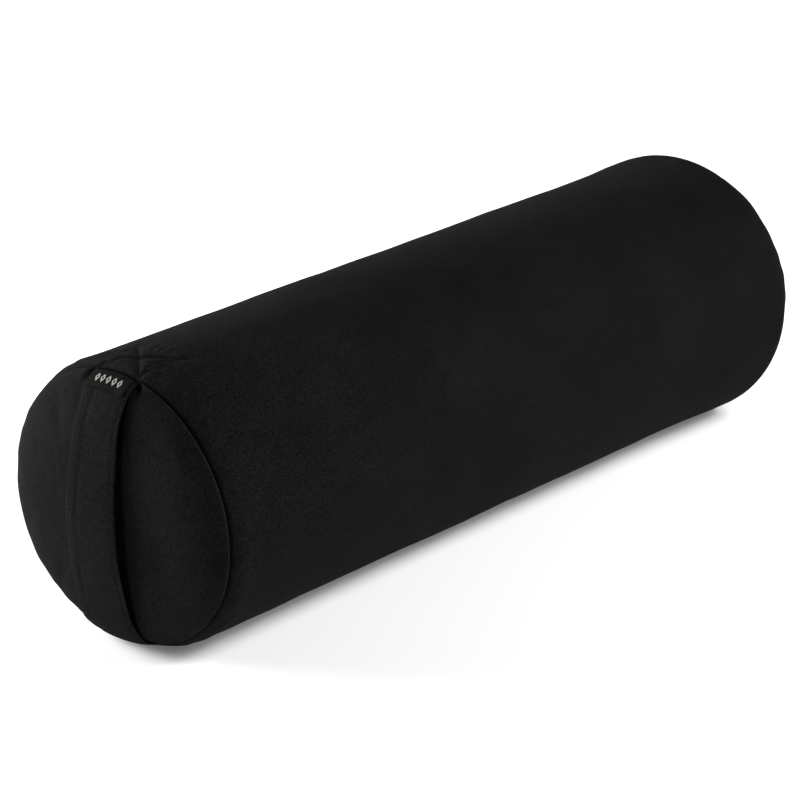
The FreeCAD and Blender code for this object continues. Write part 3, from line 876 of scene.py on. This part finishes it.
def strap_piece(name, psi0, psi1, tail_at):
    n = 96
    psi = np.linspace(psi0, psi1, n)
    m = 44
    v_out = np.linspace(-1, 1, m)
    turn = np.linspace(0, math.pi, 9)[1:-1]
    ring = []
    for kind, values in (("out", v_out), ("edge+", turn), ("in", v_out[::-1][::2]), ("edge-", turn)):
        for value in values:
            ring.append((kind, value))
    rows = []
    # colour marks per point: painted highlights on the strap's edges and rolled sides, painted shade along
    # its fold line
    painted_light_shade_rows = []
    for a in psi:
        line, marks = [], []
        hw = float(strap_half_width(AXIS_Z + STRAP_B * math.sin(a)))
        for kind, value in ring:
            from_edge = (1 - abs(value)) * hw
            thin = 1.0
            if kind in ("out", "in"):
                thin = min(1.0, 0.25 + 0.75 * math.sqrt(min(1.0, from_edge / (1.1 * MM))))
            if kind == "out":
                v, h, side = value, float(strap_relief(a, value)) * thin, 0.0
                marks.append(
                    0.8 * bell(from_edge - 0.8 * MM, 0.8 * MM)
                    - 0.22 * bell((1 - value) * hw - STRAP_FOLD_LINE, 2.5 * MM)
                )
            elif kind == "in":
                v, h, side = value, -STRAP_HALF_T * thin, 0.0
                marks.append(0.0)
            elif kind == "edge+":
                v, h, side = 1.0, 0.32 * MM * math.cos(value), 0.35 * MM * math.sin(value)
                marks.append(0.6)
            else:
                v, h, side = -1.0, -0.32 * MM * math.cos(value), -0.35 * MM * math.sin(value)
                marks.append(0.6)
            line.append(on_strap(a, v, h)[0] + np.array([0, side, 0]))
        rows.append(line)
        painted_light_shade_rows.append(marks)
    pts = np.array(rows)
    marks = np.array(painted_light_shade_rows)
    # the sewn end goes straight on into the seam
    tail = pts[tail_at].copy()
    tails = []
    for k in range(1, 4):
        q = tail.copy()
        q[:, 0] += 1.6 * MM * k
        tails.append(q)
    if tail_at == 0:
        pts = np.concatenate([np.array(tails[::-1]), pts])
        marks = np.concatenate([marks[:1]] * 3 + [marks])
    else:
        pts = np.concatenate([pts, np.array(tails)])
        marks = np.concatenate([marks] + [marks[-1:]] * 3)
    nu, nv = pts.shape[:2]
    verts = pts.reshape(-1, 3)
    faces = grid_faces(nu, nv, wrap_v=True, flip=True)
    faces.append(tuple(range(nv)))
    faces.append(tuple(range((nu - 1) * nv, nu * nv))[::-1])
    obj = make_object(name, verts, faces, strap_suede)
    # the cut ends stay crisp, so the two halves meet without a line
    for edge in obj.data.edges:
        a, b = edge.vertices
        if a // nv == b // nv and a // nv in (0, nu - 1):
            edge.use_edge_sharp = True
    attribute(obj, "painted_light_shade", marks.ravel())
    return obj


def join_strap(obj, upper):
    if upper:
        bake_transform(obj)
    else:
        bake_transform(obj)


upper_strap = strap_piece("strap_upper_half", 0.0, math.pi / 2, -1)
lower_strap = strap_piece("strap_lower_half", -math.pi / 2, 0.0, 0)
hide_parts("strap_upper_leg", "strap_grip")
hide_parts("strap_lower_leg")
for obj, upper, width in ((upper_strap, True, 0.046), (lower_strap, False, 0.054)):
    join_strap(obj, upper)


# ------------------------------------------------------------------ stitches
ROD_SIDES = 6


def rod_faces(base, rings, flip=False):
    """Faces of a capped rod whose rings of points follow one another from base."""
    last = base + (rings - 1) * ROD_SIDES
    faces = [tuple(base + k for k in range(ROD_SIDES))]
    faces.append(tuple(last + k for k in range(ROD_SIDES))[::-1])
    for a in range(base, last, ROD_SIDES):
        b = a + ROD_SIDES
        for k in range(ROD_SIDES):
            k2 = (k + 1) % ROD_SIDES
            faces.append((a + k, b + k, b + k2, a + k2))
    return [f[::-1] for f in faces] if flip else faces


def stitches(name, runs, radius, material):
    """Each run is a list of (start, end, lift direction): one short thread that dives at both ends."""
    verts, faces = [], []
    bend = ((0.0, -0.55), (0.12, 0.1), (0.32, 0.5), (0.68, 0.5), (0.88, 0.1), (1.0, -0.55))
    for a, b, up in runs:
        a, b, up = np.asarray(a), np.asarray(b), np.asarray(up)
        along = b - a
        length = np.linalg.norm(along)
        along = along / length
        across = np.cross(along, up)
        across /= np.linalg.norm(across)
        base = len(verts)
        for share, lift in bend:
            thick = radius * (0.75 if share in (0.0, 1.0) else 1.0)
            c = a + along * length * share + up * lift * radius * 1.2
            for k in range(ROD_SIDES):
                w = 2 * math.pi * k / ROD_SIDES
                verts.append(c + across * math.cos(w) * thick + up * math.sin(w) * thick)
        faces += rod_faces(base, len(bend))
    return make_object(name, verts, faces, material)


tube_tree = BVHTree.FromPolygons([tuple(v) for v in all_verts[used]], faces)


def on_tube(x, arc):
    """Point on the finished tube at x, arc metres round from the top, and the radial direction."""
    phi = arc / R
    up = np.array([0, math.sin(phi), math.cos(phi)])
    start = np.array([x, 0, AXIS_Z]) + up * 0.16
    hit = tube_tree.ray_cast(Vector(start), Vector(-up), 0.2)
    return (np.array(hit[0]) if hit[0] else start - up * (0.16 - R)), up


def row_on_tube(x0, x1, count, arc):
    """Points of a straight row along the tube, with their radial directions."""
    return zip(*[on_tube(x, arc) for x in np.linspace(x0, x1, count)])


def stitch_line(points, ups, length=3.0 * MM, gap=1.1 * MM):
    """Splits a polyline of surface points into single stitches."""
    pts = np.asarray(list(points))
    run = np.concatenate([[0], np.cumsum(np.linalg.norm(np.diff(pts, axis=0), axis=1))])
    ups = np.asarray(list(ups))
    count = max(1, int((run[-1] + gap) // (length + gap)))
    pitch = (run[-1] + gap) / count
    out = []
    for k in range(count):
        ends = []
        for d in (k * pitch, k * pitch + pitch - gap):
            ends.append(np.array([np.interp(d, run, pts[:, c]) for c in range(3)]))
        mid = np.array([np.interp(k * pitch + pitch / 2, run, ups[:, c]) for c in range(3)])
        out.append((ends[0], ends[1], mid / np.linalg.norm(mid)))
    return out


def sewn(name, cad, runs, radius):
    """Stitches in the cover that stand for a thread of the CAD model."""
    obj = stitches(name, runs, radius, black_thread)
    on_bolster(obj, cad)


for name, cad, middle in (
    ("upper_box_stitches", "upper_box_stitch", 0.0),
    ("lower_box_stitches", "lower_box_stitch", math.pi * R),
):
    runs = []
    for (ax, ay), (bx, by) in box_lines():
        shares = np.linspace(0, 1, 24)
        spots = [on_tube(BOX_MID + ax + (bx - ax) * k, middle + ay + (by - ay) * k) for k in shares]
        runs += stitch_line(*zip(*spots))
    sewn(name, cad, runs, 0.42 * MM)

SLOT_FRONT = MID_X - SLOT_HALF_L
SLOT_BACK = MID_X + SLOT_HALF_L
for name, cad, x0, x1 in (
    ("long_seam_stitches_front", "long_seam_thread_front", FRONT_X + 3 * MM, SLOT_FRONT - 7 * MM),
    ("long_seam_stitches_back", "long_seam_thread_back", SLOT_BACK + 7 * MM, BACK_X - 3 * MM),
):
    pts, ups = row_on_tube(x0, x1, 40, ZIP_PHI * R)
    sewn(name, cad, stitch_line(pts, ups, 2.4 * MM, 0.5 * MM), 0.3 * MM)

for name, cad, seam_x, side in (
    ("front_seam_stitches", "front_seam_thread", FRONT_X, 1),
    ("back_seam_stitches", "back_seam_thread", BACK_X, -1),
):
    a = np.linspace(0, 2 * math.pi, 361)
    pts = place(seam_x + side * 0.1 * MM, float(tube_radius(seam_x)) - 1.9 * MM, a)
    ups = np.stack([0 * a, np.sin(a), np.cos(a)], axis=-1)
    sewn(name, cad, stitch_line(pts, ups, 2.6 * MM, 0.5 * MM), 0.4 * MM)

for name, cad, sign in (
    ("zip_upper_topstitches", "zip_upper_topstitch", -1),
    ("zip_lower_topstitches", "zip_lower_topstitch", 1),
):
    arc = ZIP_PHI * R + sign * TOPSTITCH_T
    pts, ups = row_on_tube(SLOT_FRONT - 4 * MM, SLOT_BACK + 4 * MM, 190, arc)
    sewn(name, cad, stitch_line(pts, ups, 2.9 * MM, 0.9 * MM), 0.36 * MM)

for name, cad, x in (
    ("zip_front_bar_stitches", "zip_front_bar_tack", SLOT_FRONT - 5 * MM),
    ("zip_back_bar_stitches", "zip_back_bar_tack", SLOT_BACK + 5 * MM),
):
    runs = []
    for t in np.arange(-9, 9.01, 0.75) * MM:
        a, up = on_tube(x - 0.9 * MM, ZIP_PHI * R + t)
        b, _ = on_tube(x + 0.9 * MM, ZIP_PHI * R + t + 0.35 * MM)
        runs.append((a, b, up))
    sewn(name, cad, runs, 0.34 * MM)

for name, psi0, psi1, upper in (
    ("strap_upper_edge_stitches", 0.0, 1.50, True),
    ("strap_lower_edge_stitches", -1.50, 0.0, False),
):
    runs = []
    for sign in (-1, 1):
        spots = []
        for a in np.linspace(psi0, psi1, 90):
            hw = float(strap_half_width(AXIS_Z + STRAP_B * math.sin(a)))
            v = sign * (1 - STRAP_EDGE_ROW / hw)
            spots.append(on_strap(a, v, float(strap_relief(a, v))))
        runs += stitch_line(*zip(*spots), 2.7 * MM, 1.0 * MM)
    obj = stitches(name, runs, 0.3 * MM, black_thread)
    join_strap(obj, upper)


# ------------------------------------------------------------------ woven label
LABEL_HALF_W = 19.8 * MM
LABEL_T = 0.35 * MM
LABEL_OFF_STRAP = 1.75 * MM
LEAF_GAP = 0.9 * MM
LABEL_CORNER_LIFT = 2.2 * MM


def label_piece():
    """A ribbon folded once: both ends in the seam, the fold hanging over the strap's top."""
    nu, nv = 40, 40
    psi_top, psi_low = math.radians(86.5), math.radians(67.2)
    rows, uvs = [], []
    fall = (psi_low - psi_top) / (nv - 1)
    steps = [("front", psi_top + fall * k, k / (nv - 1)) for k in range(nv)]
    steps += [("fold", k / 6, 1.0) for k in range(1, 6)]
    steps += [("behind", psi_top + fall * k, k / (nv - 1)) for k in range(nv - 1, -1, -4)]
    for kind, value, down in steps:
        line, uvl = [], []
        for i in range(nu + 1):
            v = -1 + 2 * i / nu
            y = v * LABEL_HALF_W
            psi = psi_low if kind == "fold" else value
            b = math.sqrt(STRAP_B ** 2 - y ** 2)
            a = STRAP_A * b / STRAP_B
            z = b * math.sin(psi)
            x = a * math.cos(psi)
            n = np.array([-x / STRAP_A ** 2, y / STRAP_B ** 2, z / STRAP_B ** 2])
            n /= np.linalg.norm(n)
            p = np.array([FRONT_X - x, y, AXIS_Z + z])
            # the corner on the -Y side stands off the strap
            stand = LABEL_CORNER_LIFT * smooth(0.35, 1.0, -v) * down ** 1.2
            wavy = 0.25 * MM * math.sin(v * 4.2 + 0.5) * down
            lift = LABEL_OFF_STRAP + stand + wavy
            if kind == "front":
                lift += LEAF_GAP
            elif kind == "fold":
                w = value * math.pi
                lift += LEAF_GAP / 2 * (1 + math.cos(w))
                p = p + np.array([0, 0, -1.0]) * 0.55 * MM * math.sin(w)
            p = p + n * lift
            line.append(p)
            uvl.append((0.5 - v / 2, 1 - down if kind == "front" else 0.02))
        rows.append(line)
        uvs.append(uvl)
    pts = np.array(rows)
    faces = grid_faces(pts.shape[0], pts.shape[1], flip=True)
    uvs = np.array(uvs).reshape(-1, 2)
    obj = make_object("woven_label_folded", pts.reshape(-1, 3), faces, label_satin, uvs)
    thicken(obj, LABEL_T)
    return obj


label = label_piece()
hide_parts("woven_label")
join_strap(label, True)

# ------------------------------------------------------------------ zip chain
def coil_half(name, cad, sign, shift):
    """Nylon coil: one rounded loop per tooth, with a swollen head at the middle of the chain."""
    verts, faces = [], []
    lo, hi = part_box(cad)
    count = int((hi[0] - lo[0]) // COIL_PITCH)
    # distance from the middle of the chain, height, and the wire's radius, in mm
    path = (
        (3.0, -0.25, 0.34),
        (2.2, 0.55, 0.36),
        (1.1, 0.72, 0.38),
        (0.35, 0.55, 0.5),
        (0.05, 0.1, 0.44),
        (0.35, -0.4, 0.38),
        (2.2, -0.5, 0.34),
    )
    for q in range(count):
        x = lo[0] + COIL_PITCH * (q + 0.5 + shift)
        if x > hi[0] - 0.5 * MM:
            continue
        base = len(verts)
        for k, (t, n, rr) in enumerate(path):
            tilt = (0.22 if k < 3 else 0.0) * MM
            c = np.array([x + tilt, 0, AXIS_Z]) + centre_n * (CHAIN_R + n * MM) + centre_t * sign * t * MM
            for w in range(ROD_SIDES):
                a = 2 * math.pi * w / ROD_SIDES
                verts.append(c + (ALONG * math.cos(a) + centre_n * math.sin(a)) * rr * MM)
        faces += rod_faces(base, len(path), flip=sign > 0)
    obj = make_object(name, verts, faces, zip_nylon)
    on_bolster(obj, cad)


coil_half("zip_upper_coil_loops", "zip_upper_coil", -1, 0.0)
coil_half("zip_lower_coil_loops", "zip_lower_coil", 1, 0.5)


def zip_tape(name, cad, sign):
    """Woven tape: its inner edge runs under its coil to the middle of the chain, its outer edge
    under the cover."""
    lo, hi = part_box(cad)
    across = np.array([0.02, 0.3, 0.9, 1.8, 2.8, 3.6, 4.6, 5.8, 7.5, 10.0, 12.5, 14.6]) * MM
    along = np.linspace(lo[0], hi[0], 240)
    X, T = np.meshgrid(along, across, indexing="ij")
    under_coil = smooth(4.0 * MM, 2.6 * MM, T)
    # a low rib beside the coil, where the tape is sewn to it, and a slow ripple along the strip
    rib = 0.12 * MM * bell(T - 4.4 * MM, 0.5 * MM)
    slack = 0.1 * MM * np.sin(X * 95 + T * 120) * smooth(4 * MM, 9 * MM, T)
    height = np.sqrt(TAPE_R ** 2 - T ** 2) - 0.3 * MM * under_coil + rib + slack
    pts = np.zeros(X.shape + (3,))
    pts[..., 0] = X
    pts[..., 2] = AXIS_Z
    pts += height[..., None] * centre_n + sign * T[..., None] * centre_t
    faces = grid_faces(len(along), len(across), flip=sign < 0)
    obj = make_object(name, pts.reshape(-1, 3), faces, zip_weave)
    thicken(obj, TAPE_T)
    on_bolster(obj, cad)


zip_tape("zip_upper_tape_weave", "zip_upper_tape", -1)
zip_tape("zip_lower_tape_weave", "zip_lower_tape", 1)

for name in ("zip_slider", "zip_pull_tab"):
    cad = frame["nodes"][name]
    bevel = cad.modifiers.new("Bevel", "BEVEL")
    bevel.width = 0.18 * MM
    bevel.segments = 2
    bevel.limit_method = "ANGLE"

# ------------------------------------------------------------------ floor, light and camera
def floor():
    marks = np.linspace(-6, 6, 25)
    verts = [(x, y, 0.0) for x in marks for y in marks]
    faces = grid_faces(len(marks), len(marks), flip=True)
    m, t, s, where = new_material("floor_white")
    shade = remap(t, noise_node(t, where, 3, 2), 0.3, 0.7, 0.995, 1.0)
    link(t, tinted(t, (0.93, 0.93, 0.93), shade), s, "Base Color")
    put(s, "Roughness", 0.9)
    put(s, "Specular IOR Level", 0.1)
    put(s, "Emission Color", (1, 1, 1, 1))
    put(s, "Emission Strength", 0.12)
    make_object("studio_floor", verts, faces, m)


floor()


def area_light(name, where, target, size, power):
    data = bpy.data.lights.new(name, "AREA")
    data.shape = "RECTANGLE"
    data.size, data.size_y = size
    data.energy = power
    obj = bpy.data.objects.new(name, data)
    obj.location = where
    obj.rotation_euler = (Vector(target) - Vector(where)).to_track_quat("-Z", "Y").to_euler()
    bpy.context.scene.collection.objects.link(obj)


world = bpy.data.worlds.new("studio")
bpy.context.scene.world = world
world.use_nodes = True
put(world.node_tree.nodes["Background"], "Color", (1, 1, 1, 1))
put(world.node_tree.nodes["Background"], "Strength", 0.05)

NEAR_END = (-0.2, 0, 0.12)
MIDDLE = (0.1, 0, 0.1)
area_light("key_left", (-0.9, 2.5, 0.9), NEAR_END, (1.2, 1.2), 132)
area_light("front_left", (-1.7, 2.1, 0.8), NEAR_END, (1.2, 1.2), 84)
area_light("fill_right", (1.4, -2.1, 1.7), MIDDLE, (1.2, 1.0), 40)
area_light("fill_high", (0.9, -1.9, 2.2), MIDDLE, (1.2, 1.0), 80)

camera_data = bpy.data.cameras.new("camera")
camera = bpy.data.objects.new("camera", camera_data)
bpy.context.scene.collection.objects.link(camera)
bpy.context.scene.camera = camera
camera_data.sensor_width = 36
camera_data.lens = 153.95
camera_data.clip_end = 50
look = Vector((0.69814, 0.61739, -0.36252))
# the camera stands off the middle of the tube by this many of its radii
stand_off = Vector((-17.181, -14.942, 8.734))
camera.location = Vector((MID_X, 0, AXIS_Z)) + stand_off * 114.5 * MM
camera.rotation_euler = look.to_track_quat("-Z", "Y").to_euler()
bpy.context.scene.view_settings.view_transform = "Standard"
